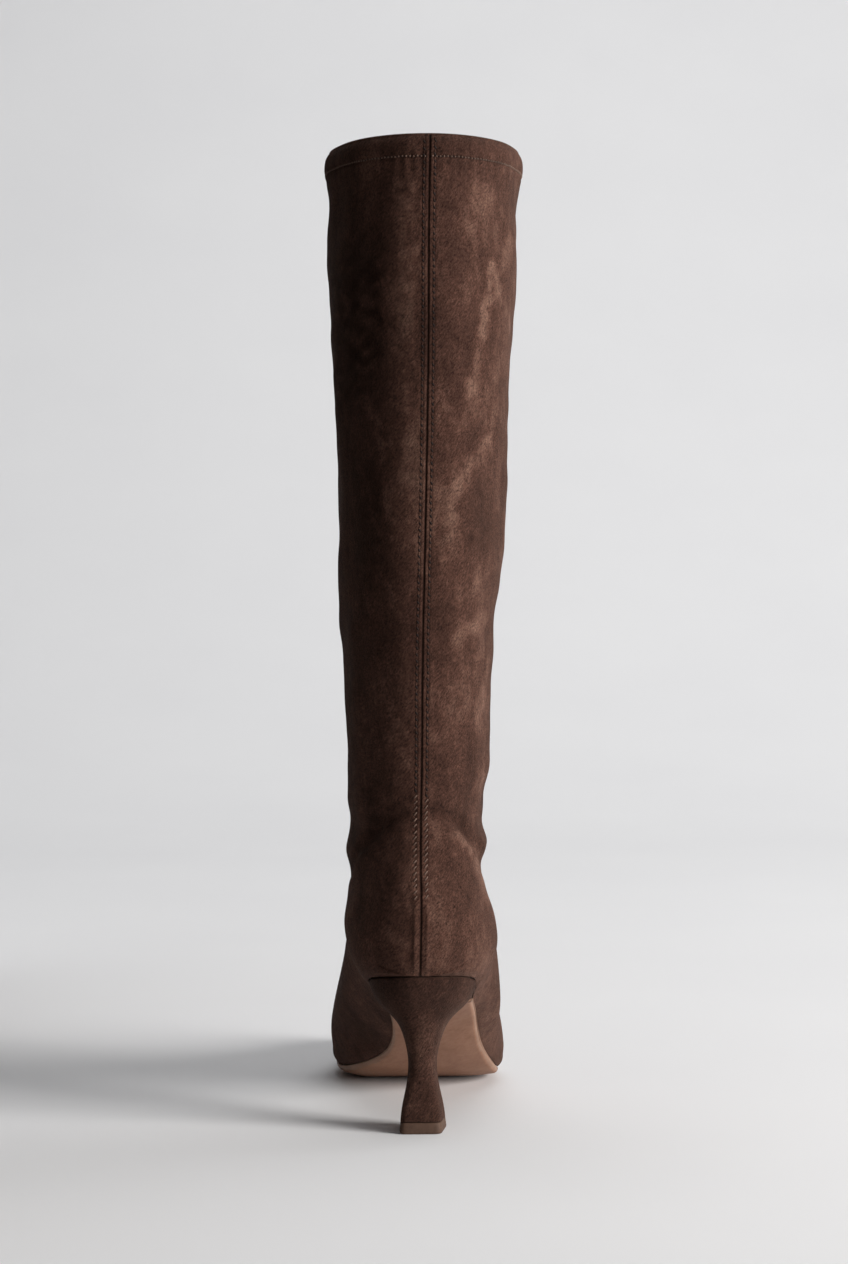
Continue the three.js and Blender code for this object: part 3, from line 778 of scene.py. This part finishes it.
sole_leather = leather("sole_leather", (0.250, 0.118, 0.068), (0.340, 0.178, 0.110), 0.5, 0.52)
sole_edge = leather("sole_edge", (0.225, 0.122, 0.078), (0.300, 0.180, 0.122), 0.4, 0.5)
rubber = leather("top_piece_rubber", (0.056, 0.029, 0.018), (0.094, 0.052, 0.034), 0.6, 0.7)
insole_leather = leather("insole_leather", (0.20, 0.12, 0.08), (0.29, 0.19, 0.13), 0.6, 0.6)
thread = leather("stitching_thread", (0.085, 0.050, 0.037), (0.165, 0.103, 0.078), 0.3, 0.8)
# Near-black marks of painted shade where the needle holes sink in.
needle_hole_shade = leather("needle_holes_painted_shade", (0.010, 0.006, 0.005), (0.020, 0.011, 0.008), 0.5, 0.9)


def woven(name, dark, light):
    """A close woven lining: two crossed sets of fine threads."""
    n = Nodes(name)
    warp = n.noise(0.35, 1, 0.5, stretch=(1, 1, 9))
    weft = n.noise(0.35, 1, 0.5, stretch=(9, 9, 1))
    weave = n.math("ADD", n.math("MULTIPLY", warp, 0.5), n.math("MULTIPLY", weft, 0.5))
    clouds = n.noise(20, 2, 0.5)
    tone = n.math("ADD", n.math("MULTIPLY", weave, 0.6), n.math("MULTIPLY", clouds, 0.4))
    colour = n.blend(n.ramp(tone, 0.38, 0.62), dark, light)
    return n.finish(colour, 0.85, n.bump(weave, 0.2, 0.5), Sheen_Weight=0.2)


lining_cloth = woven("lining_cloth", (0.16, 0.10, 0.072), (0.25, 0.165, 0.12))

# The upper's skin, and its relief.
traced, is_open = trace_sections()
ROLL = 2.4  # the rim leans in by this much
ROLL_ZONE = 6.5


def rolled(z):
    """How far the rim has leaned in at height z."""
    return ROLL * np.clip((z - BOOT_HEIGHT + ROLL_ZONE) / ROLL_ZONE, 0, 1) ** 2.4


last_surface, seam_distance = share_out(traced)
outward = normals_of(last_surface, ~is_open)
height = relief(last_surface, seam_distance, is_open) - rolled(last_surface[..., 2])
outer_surface = last_surface + outward * height[..., None]
# Both ends of a closed row are the same seam.
outer_surface[~is_open, -1] = outer_surface[~is_open, 0]


def inside(row, depth):
    return last_surface[row] - outward[row] * (depth + rolled(last_surface[row][:, 2:]))


# The rim is turned over, and its edge is stitched down inside the collar.
RIM_STEPS = 9
FACING_DEPTH = WALL + 0.35
FACING_TOP = FACING_DEPTH + float(rolled(BOOT_HEIGHT - RIM_RADIUS))
FACING_LENGTH = 12.0
rim_level = last_surface[-1]
rim_out = height[-1]
rim_rows = []
for step in range(1, RIM_STEPS + 1):
    turn = math.pi * step / RIM_STEPS
    offset = (rim_out - FACING_TOP) / 2 + (rim_out + FACING_TOP) / 2 * math.cos(turn)
    row = rim_level + outward[-1] * offset[:, None]
    row[:, 2] = rim_level[:, 2] + RIM_RADIUS * math.sin(turn)
    rim_rows.append(row)
closed_heights = last_surface[FIRST_CLOSED:, 0, 2]
facing_first = FIRST_CLOSED + int(np.argmin(np.abs(closed_heights - (BOOT_HEIGHT - FACING_LENGTH))))
facing = [inside(i, FACING_DEPTH) for i in range(len(last_surface) - 2, facing_first, -3)]
facing.append(inside(facing_first, WALL - 0.2))
turned_in = np.concatenate([np.array(rim_rows), np.array(facing)])
upper = Builder()
upper.grid(cupped(np.concatenate([outer_surface, turned_in])))
# The upper's attribute holds the nap's strokes with painted shade and painted highlight.
nap_and_painted_light = np.concatenate([brushed_and_painted(last_surface, seam_distance, is_open), np.zeros(turned_in.shape[:2])])
add_mesh("upper_suede", upper.vertices, upper.faces, suede_upper, ["upper"], nap_and_painted_light=nap_and_painted_light)

# The lining, from the rim down to the insole and along the foot.
LINING_STEP = 3
LINING_TOE = 240.0
LINING_LEAST = 0.9  # the lining stays at least this far under the suede
lining_rows = []
for i in range(0, len(last_surface) - 3, LINING_STEP):
    if last_surface[i, 0, 1] < LINING_TOE or not is_open[i]:
        lining_rows.append(i)
lining = Builder()
columns = slice(0, None, 2)
lining_depth = np.maximum(WALL, LINING_LEAST - height)[..., None]
lining.grid(cupped(np.array([inside(i, lining_depth[i])[columns] for i in lining_rows])), flip=True)
add_mesh("lining", lining.vertices, lining.faces, lining_cloth)


# The soles.
def outline(depth, grow, start, rows=190):
    """Pairs of plan points (inner, outer) from the back at start to the toe tip, moved out by grow(y)."""
    t = np.linspace(0, 1, rows)
    tip = FOOT_LENGTH - depth
    y = start + (tip - start) * (1 - (1 - t) ** 1.7)
    if start < 10:
        y = start + (tip - start) * (0.5 - 0.5 * np.cos(math.pi * t))
    y = np.minimum(y, tip - 0.02)
    pair = np.stack([np.column_stack([feather_at(y, side, depth), y]) for side in (-1, 1)], axis=1)
    pair[-1, :, 0] = sole_middle(y[-1])
    along = np.gradient(pair, axis=0)
    along[-1, 0] = [1, 0.2]
    along[-1, 1] = [-1, 0.2]
    along /= np.linalg.norm(along, axis=2, keepdims=True)
    square = np.stack([-along[..., 1], along[..., 0]], axis=2)
    square[:, 1] *= -1
    return pair + square * grow(pair[..., 1])[..., None]


def plate(pair, low, high, low_radius, high_radius, columns=44):
    """Bottom and top of a plate with rounded edges between pairs of plan points.

    low gives the bottom at y and at a share of the way out to the edge, and high the top at y.
    """
    edge = np.sin(math.pi / 2 * np.linspace(-1, 1, columns))
    spot = pair[:, None, 0] + (pair[:, None, 1] - pair[:, None, 0]) * (edge[None, :, None] + 1) / 2
    ends = np.concatenate([pair[:, 0], pair[::-1, 1]])
    a, b = ends[:-1], ends[1:]
    flat = spot.reshape(-1, 2)
    best = np.full(len(flat), 1e9)
    for p, q in zip(a, b):
        d = q - p
        t = np.clip(((flat - p) @ d) / max(d @ d, 1e-9), 0, 1)
        best = np.minimum(best, np.linalg.norm(flat - p - t[:, None] * d, axis=1))
    inward = best.reshape(spot.shape[:2])

    def rounding(radius):
        reach = np.clip(1 - inward / radius, 0, 1)
        return radius * (1 - np.sqrt(1 - reach * reach))

    y = spot[..., 1]
    share = np.abs(edge)[None, :] * np.ones_like(y)
    bottom = np.dstack([spot, low(y, share) + rounding(low_radius)])
    top = np.dstack([spot, high(y) - rounding(high_radius)])
    return bottom, top


def closed_plate(bottom, top):
    """Mesh of a plate: its faces and the edges between them."""
    walls = Builder()
    walls.grid(cupped(top))
    walls.grid(cupped(bottom), flip=True)
    sides = [
        (top[:, 0], bottom[:, 0]),
        (bottom[:, -1], top[:, -1]),
        (top[-1], bottom[-1]),
        (bottom[0], top[0]),
    ]
    for first, second in sides:
        strip = np.stack([mix(first, second, t) for t in np.linspace(0, 1, 4)], axis=1)
        walls.grid(cupped(strip), flip=False)
    return walls


SOLE_INSET = 0.3  # how far the sole's edge lies inside the upper's at the waist
WAIST_CROWN = 1.2  # the waist is rounded across
SOLE_LOWER_EDGE = 2.3
SOLE_UPPER_EDGE = 0.4


def sole_proud(y):
    return mix(-SOLE_INSET, 0.0, ease((y - 90) / 50))


def sole_low(y, share):
    return sole_underside(y) + WAIST_CROWN * ease((145 - y) / 60) * share * share


def sole_high(y):
    return sole_underside(y) + SOLE_THICKNESS


sole_pair = outline(0.0, sole_proud, BREAST + GAP)
sole_walls = closed_plate(*plate(sole_pair, sole_low, sole_high, SOLE_LOWER_EDGE, SOLE_UPPER_EDGE))
outsole = add_mesh(
    "outsole", sole_walls.vertices, sole_walls.faces, sole_leather, ["outsole"]
)
outsole.data.materials.append(sole_edge)
for face in outsole.data.polygons:
    if abs(face.normal.z) < 0.72 and face.center.z * 1000 < 80:
        face.material_index = 1

INSOLE_LOWER_EDGE = 0.3
INSOLE_UPPER_EDGE = 0.8
INSOLE_COLUMNS = 30


def insole_proud(y):
    return -mix(0.7, 1.4, np.clip((y - 225) / 15, 0, 1))


def insole_low(y, share):
    return upper_bottom(y)


def insole_high(y):
    return upper_bottom(y) + INSOLE_THICKNESS


insole_pair = outline(WALL, insole_proud, seat_back_at(WALL) + 0.05)
insole_pair[0] = insole_pair[0].mean(axis=0)
insole_walls = closed_plate(*plate(
    insole_pair, insole_low, insole_high, INSOLE_LOWER_EDGE, INSOLE_UPPER_EDGE, INSOLE_COLUMNS,
))
add_mesh("insole", insole_walls.vertices, insole_walls.faces, insole_leather, ["insole"])

# The heel by height.
heel_half_width = Smooth([
    (5.5, 10.7), (9.5, 10.2), (17, 8.7), (23, 7.6), (28.3, 7.1), (33.4, 7.2), (39.7, 8.5), (46, 10.8),
    (51, 14.2), (55.8, 19.3), (60, 22.6), (66, 25.2), (72, 27),
])
heel_back = Smooth([(5.5, 8.8), (16, 9.7), (26, 10.7), (34, 11), (42, 10.5), (50, 9), (58, 6.8), (72, 2)])
heel_front = Smooth([(5.5, 27), (18, 27), (26, 27.6), (32, 29), (38, 31.8), (44, 36), (50, 42), (57, 48)])
HEEL_TURN = math.tan(math.radians(7))
HEEL_MIDDLE = 18.0
HEEL_BOTTOM = TOP_PIECE_HEIGHT + GAP
HEEL_SIDES = 160
CORNER = HEEL_SIDES // 4
TOP_EDGE = 1.1  # radius of the heel's rounded upper edge
HEEL_BACK_SHARE = 0.88  # the back's width as a share of the breast's
HEEL_ROUND = 2.4  # the plan's roundness at the seat, where 2 is an ellipse
HEEL_SQUARE = 6.0  # and at the foot
BREAST_BLEND = 6.0  # how far down the seat's outline runs over into the block, at the breast
SEAT_BLEND = 16.0  # and at the back
PAINTED_HEEL_SHADE = 0.32  # painted shade, darker towards the top, under the upper


def block_ring(half, back, front, power):
    """A rounded block in plan, starting at the outer corner of the breast."""
    angle = math.pi / 4 + np.arange(HEEL_SIDES) * 2 * math.pi / HEEL_SIDES
    along = np.sign(np.sin(angle)) * np.abs(np.sin(angle)) ** (2 / power)
    across = np.sign(np.cos(angle)) * np.abs(np.cos(angle)) ** (2 / power)
    share = (1 + along) / 2
    y = mix(back, front, share)
    x = across * half * mix(HEEL_BACK_SHARE, 1, share) + (y - HEEL_MIDDLE) * HEEL_TURN
    return np.column_stack([x, y])


def seat_ring():
    outer, inner = float(feather_at(BREAST, 1)), float(feather_at(BREAST, -1))
    back = seat_back_at()
    points = np.empty((HEEL_SIDES, 3))
    for j in range(HEEL_SIDES):
        if j <= CORNER:
            points[j, :2] = mix(outer, inner, j / CORNER), BREAST
            continue
        k = (j - CORNER) / (HEEL_SIDES - CORNER)
        y = BREAST - (BREAST - back) * math.sin(math.pi * k)
        x = sole_middle(back) if abs(k - 0.5) < 1e-9 else feather_at(y, -1 if k < 0.5 else 1)
        points[j, :2] = float(x), y
    points[:, 2] = upper_bottom(points[:, 1]) - GAP
    return points


def lofted(rings):
    """Mesh of a solid through rings from top to bottom, with flat ends."""
    shape = Builder()
    closed = [np.concatenate([ring, ring[:1]]) for ring in rings]
    shape.grid(cupped(np.array(closed[::-1])))
    half = (HEEL_SIDES - CORNER) // 2
    for ring, flip in ((rings[0], True), (rings[-1], False)):
        rows = [[ring[CORNER - m] for m in range(CORNER + 1)]]
        for k in range(1, half + 1):
            a, b = ring[CORNER + k], ring[(HEEL_SIDES - k) % HEEL_SIDES]
            rows.append([mix(a, b, m / CORNER) for m in range(CORNER + 1)])
        shape.grid(cupped(np.array(rows)), flip)
    return shape


seat = seat_ring()
heel_rings = []
steps = np.concatenate([np.linspace(0, 0.16, 18), np.linspace(0.16, 1, 56)[1:]])
for step in steps:
    ring = np.empty((HEEL_SIDES, 3))
    z = mix(seat[:, 2], HEEL_BOTTOM, step)
    z = np.maximum(z, HEEL_BOTTOM)
    for j in range(HEEL_SIDES):
        power = float(mix(HEEL_ROUND, HEEL_SQUARE, ease((30 - z[j]) / 24)))
        block = block_ring(heel_half_width(z[j]), heel_back(z[j]), heel_front(z[j]), power)
        ring[j, :2] = block[j]
    length = mix(SEAT_BLEND, BREAST_BLEND, np.clip((seat[:, 1] - 20) / 28, 0, 1))
    share = np.sqrt(np.clip((seat[:, 2] - z) / length, 0, 1))
    ring[:, :2] = mix(seat[:, :2], ring[:, :2], share[:, None])
    ring[:, 2] = z
    below = seat[:, 2] - z
    pull = TOP_EDGE * (1 - np.sqrt(1 - np.clip(1 - below / TOP_EDGE, 0, 1) ** 2))
    centre = ring[:, :2].mean(axis=0)
    out = ring[:, :2] - centre
    ring[:, :2] -= out / np.linalg.norm(out, axis=1, keepdims=True) * pull[:, None]
    heel_rings.append(ring)
heel = lofted(heel_rings)
# Painted shade darkens the heel's suede towards its top.
heel_painted_shade = -PAINTED_HEEL_SHADE * ease((np.array(heel.vertices)[:, 2] - 40) / 24)
add_mesh("heel_suede", heel.vertices, heel.faces, suede_heel, ["heel"], nap_and_painted_light=heel_painted_shade)

TOP_PIECE_HALF_WIDTH = 10.6
TOP_PIECE_BACK = 8.6
TOP_PIECE_FRONT = 27.2
TOP_PIECE_POWER = 8
# Heights on the top piece, and how far its outline stands out there.
TOP_PIECE_PROFILE = [
    (TOP_PIECE_HEIGHT, -0.5), (5.15, -0.25), (5.0, -0.08), (4.8, 0), (2.6, 0.3), (0.9, 0.5), (0.35, 0.35),
    (0.08, 0.1), (0, -0.3),
]
top_rings = []
for level, flare in TOP_PIECE_PROFILE:
    back, front = TOP_PIECE_BACK - flare, TOP_PIECE_FRONT + flare
    plan = block_ring(TOP_PIECE_HALF_WIDTH + flare, back, front, TOP_PIECE_POWER)
    top_rings.append(np.column_stack([plan, np.full(HEEL_SIDES, level)]))
tip = lofted(top_rings)
add_mesh("top_piece", tip.vertices, tip.faces, rubber, ["top_piece"])


# Stitches: two rows beside the back seam, and one round the collar.
seam_heights = outer_surface[FIRST_CLOSED:, 0, 2]


def surface_point(z, s):
    """Point and outward direction on the upper at height z on the seam and distance s round from it."""
    row = float(np.interp(z, seam_heights, np.arange(len(seam_heights)))) + FIRST_CLOSED
    low = min(int(row), len(outer_surface) - 2)
    found = []
    for k in (low, low + 1):
        away = np.abs(seam_distance[k])
        if s >= 0:
            spot = np.interp(s, away[: HALF_COLUMNS + 1], np.arange(HALF_COLUMNS + 1))
        else:
            spot = 2 * HALF_COLUMNS - np.interp(-s, away[HALF_COLUMNS:][::-1], np.arange(HALF_COLUMNS + 1))
        j = min(int(spot), 2 * HALF_COLUMNS - 1)
        found.append([mix(grid[k, j], grid[k, j + 1], spot - j) for grid in (outer_surface, outward)])
    point, direction = (mix(found[0][i], found[1][i], row - low) for i in range(2))
    return point, direction / np.linalg.norm(direction)


# Places along a stitch, and the share of its full thickness there.
STITCH_PROFILE = [
    (0.0, 0.02), (0.04, 0.55), (0.14, 0.9), (0.35, 1.0), (0.65, 1.0), (0.86, 0.9), (0.96, 0.55), (1.0, 0.02),
]
STITCH_SIDES = 6


def stitch(builder, start, end, radius, lift, sag=0.0):
    """A short rounded thread between two (z, distance) spots, pressed in at both ends."""
    (a, na), (b, nb) = surface_point(*start), surface_point(*end)
    normal = na + nb
    normal /= np.linalg.norm(normal)
    along = b - a
    length = np.linalg.norm(along)
    along /= length
    across = np.cross(along, normal)
    across /= np.linalg.norm(across)
    rings = []
    for t, size in STITCH_PROFILE:
        middle = a + along * length * t + normal * (lift - sag * (2 * t - 1) ** 2)
        turn = np.linspace(0, 2 * math.pi, STITCH_SIDES + 1)
        ring = middle + radius * size * (np.outer(np.cos(turn), across) + np.outer(np.sin(turn), normal))
        rings.append(ring)
    builder.grid(cupped(np.array(rings)))


threads = Builder()
# The dark marks at the needle holes are painted shade in the sunken holes.
hole_shade_marks = Builder()
lumps = Builder()  # suede pulled up between two needle holes
PITCH = 3.0
PALE_PITCH = 2.7
PALE_TOP = 156.0  # below this the threads show pale, and above it they sink in
HOLE_LEAN = 0.55
HEM_PITCH = 1.75
z = STITCHES_END + 3
while z < HEM_LINE + 8:
    for side in (-1, 1):
        middle = side * STITCH_SIDE + RNG.normal(0, 0.06)
        at = z + RNG.normal(0, 0.1) + (0.6 if side > 0 else 0)
        if at < PALE_TOP:
            stitch(threads, (at - 0.95, middle - 0.85), (at + 0.95, middle + 0.85), 0.36, 0.14, 0.45)
        else:
            stitch(lumps, (at + 0.5, middle - 0.3), (at + 2.3, middle + 0.1), 0.55, -0.1, 0.3)
            stitch(hole_shade_marks, (at + 0.75, middle - HOLE_LEAN), (at - 0.75, middle + HOLE_LEAN), 0.42, -0.06, 0.12)
    z += PITCH if z > PALE_TOP else PALE_PITCH

half_round = float(abs(seam_distance[-12]).max())
s = -half_round + 2
while s < half_round - 1:
    if abs(s) > 1.2:
        at = HEM_LINE + 0.1 + RNG.normal(0, 0.08)
        stitch(threads, (at - 0.15, s - 0.5), (at + 0.15, s + 0.4), 0.42, 0.3, 0.45)
        stitch(hole_shade_marks, (at + 0.3, s + 0.62), (at - 0.3, s + 1.0), 0.25, 0.02, 0.1)
    s += HEM_PITCH

add_mesh("stitching", threads.vertices, threads.faces, thread, merge=False)
add_mesh("seam_lumps", lumps.vertices, lumps.faces, suede_upper, merge=False)
add_mesh("needle_holes_painted_shade", hole_shade_marks.vertices, hole_shade_marks.faces, needle_hole_shade, merge=False)

# The studio: a pale sweep that rises behind the boot.
SWEEP_WIDTH = 9.0
BEND_START = 1.2
BEND = 2.8
sweep_line = [(-4.0, 0.0), (0.0, 0.0), (BEND_START, 0.0)]
sweep_line += [
    (BEND_START + BEND * math.sin(a), BEND - BEND * math.cos(a)) for a in np.linspace(0.05, math.pi / 2, 40)
]
sweep_line += [(BEND_START + BEND, 6.0)]
vertices = [(x, y, z) for y, z in sweep_line for x in (-SWEEP_WIDTH / 2, SWEEP_WIDTH / 2)]
faces = [(2 * i, 2 * i + 1, 2 * i + 3, 2 * i + 2) for i in range(len(sweep_line) - 1)]
mesh = bpy.data.meshes.new("sweep")
mesh.from_pydata(vertices, [], faces)
mesh.polygons.foreach_set("use_smooth", [True] * len(faces))
sweep = bpy.data.objects.new("sweep", mesh)
bpy.context.scene.collection.objects.link(sweep)
n = Nodes("pale_paper")
paper = n.blend(n.noise(260, 2, 0.5), (0.80, 0.80, 0.81), (0.84, 0.84, 0.845))
mesh.materials.append(n.finish(paper, 0.9, Specular_IOR_Level=0.1))

LOOK_AT = (0.0, 0.0, 0.22)


def area_light(name, spot, size, power, colour=(1, 1, 1), towards=LOOK_AT):
    light = bpy.data.lights.new(name, "AREA")
    light.shape = "RECTANGLE"
    light.size, light.size_y = size
    light.energy = power
    light.color = colour
    lamp = bpy.data.objects.new(name, light)
    lamp.location = spot
    lamp.rotation_euler = (Vector(towards) - Vector(spot)).to_track_quat("-Z", "Y").to_euler()
    bpy.context.scene.collection.objects.link(lamp)
    return lamp


area_light("key", (2.5, -1.3, 0.95), (1.2, 1.4), 132, (1, 0.982, 0.96))
area_light("top", (0.0, -0.2, 3.0), (2.2, 2.2), 9, (1, 1, 1))
area_light("background", (0.8, 0.8, 3.2), (3.2, 1.6), 54, (0.985, 0.99, 1), (0.3, 3.6, 0.6))

# A dark card out of view keeps the light of the floor and the room off the inner side.
CARD_X = -0.29
CARD_BACK, CARD_FRONT = -1.1, 0.42
CARD_TOP = 0.95
card_corners = ((CARD_BACK, 0), (CARD_FRONT, 0), (CARD_FRONT, CARD_TOP), (CARD_BACK, CARD_TOP))
card_mesh = bpy.data.meshes.new("card")
card_mesh.from_pydata([(CARD_X, y, z) for y, z in card_corners], [], [(0, 1, 2, 3)])
card = bpy.data.objects.new("card", card_mesh)
bpy.context.scene.collection.objects.link(card)
card_mesh.materials.append(leather("card_black", (0.012, 0.008, 0.006), (0.02, 0.014, 0.011), 5, 0.9))
card.visible_camera = False

world = bpy.data.worlds.new("studio")
bpy.context.scene.world = world
world.use_nodes = True
world.node_tree.nodes["Background"].inputs["Color"].default_value = (0.95, 0.97, 1.0, 1)
world.node_tree.nodes["Background"].inputs["Strength"].default_value = 0.12

scene = bpy.context.scene
scene.view_settings.view_transform = "Standard"
scene.view_settings.look = "None"

# The camera stands level behind the boot, a little to its inner side.
LENS_FACTOR = 1.12  # a closer frame, because it holds one boot
lens = bpy.data.cameras.new("camera")
camera = bpy.data.objects.new("camera", lens)
scene.collection.objects.link(camera)
TURN = math.atan2(0.0566, 1.2)
camera.location = (-0.0589, -1.321, 0.2506)
camera.rotation_euler = (math.pi / 2, 0, -TURN)
SENSOR = 36
IMAGE_HEIGHT = 1264
FOCAL_PIXELS = 2340
lens.sensor_width = SENSOR
lens.lens = FOCAL_PIXELS / IMAGE_HEIGHT * SENSOR * LENS_FACTOR
lens.shift_y = -0.032
lens.clip_end = 50
scene.camera = camera
